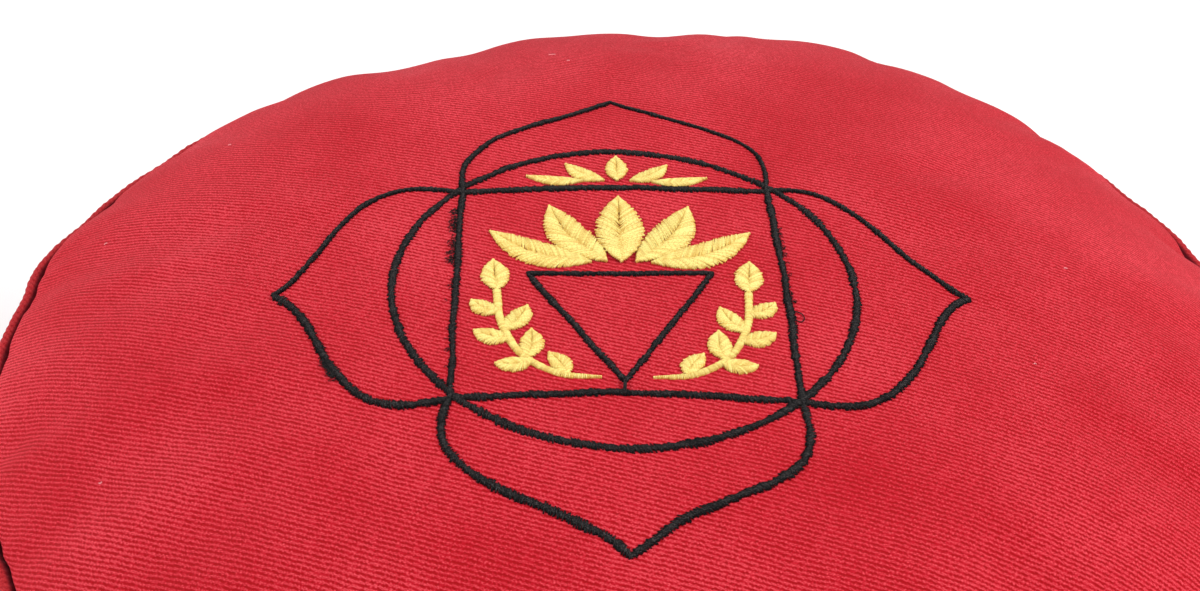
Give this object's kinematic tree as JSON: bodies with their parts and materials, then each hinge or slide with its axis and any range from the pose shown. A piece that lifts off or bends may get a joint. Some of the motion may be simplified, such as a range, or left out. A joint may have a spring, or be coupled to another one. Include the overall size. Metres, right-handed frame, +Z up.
{
  "type": "zafu meditation cushion",
  "caption": "Round filled floor cushion for sitting, with a crowned top panel, a pleated wall, corded seams and a flat resting face.",
  "frame": {"origin": "centre of the flat resting face on the underside, at floor level", "axes": "+Z up through the crown; -Y is the front, from where the embroidery reads upright; +X to the right"},
  "size_m": [0.3511, 0.3521, 0.1662],
  "materials": {
    "cloth": "red cotton with a fine rib, matt",
    "piping": "the same cotton over a cord, matt",
    "black_thread": "black embroidery thread, soft sheen",
    "gold_thread": "gold yellow embroidery thread, soft sheen"
  },
  "bodies": {
    "root": {"cushion": "cloth", "piping_top": "piping", "piping_bottom": "piping"}
  },
  "joints": []
}
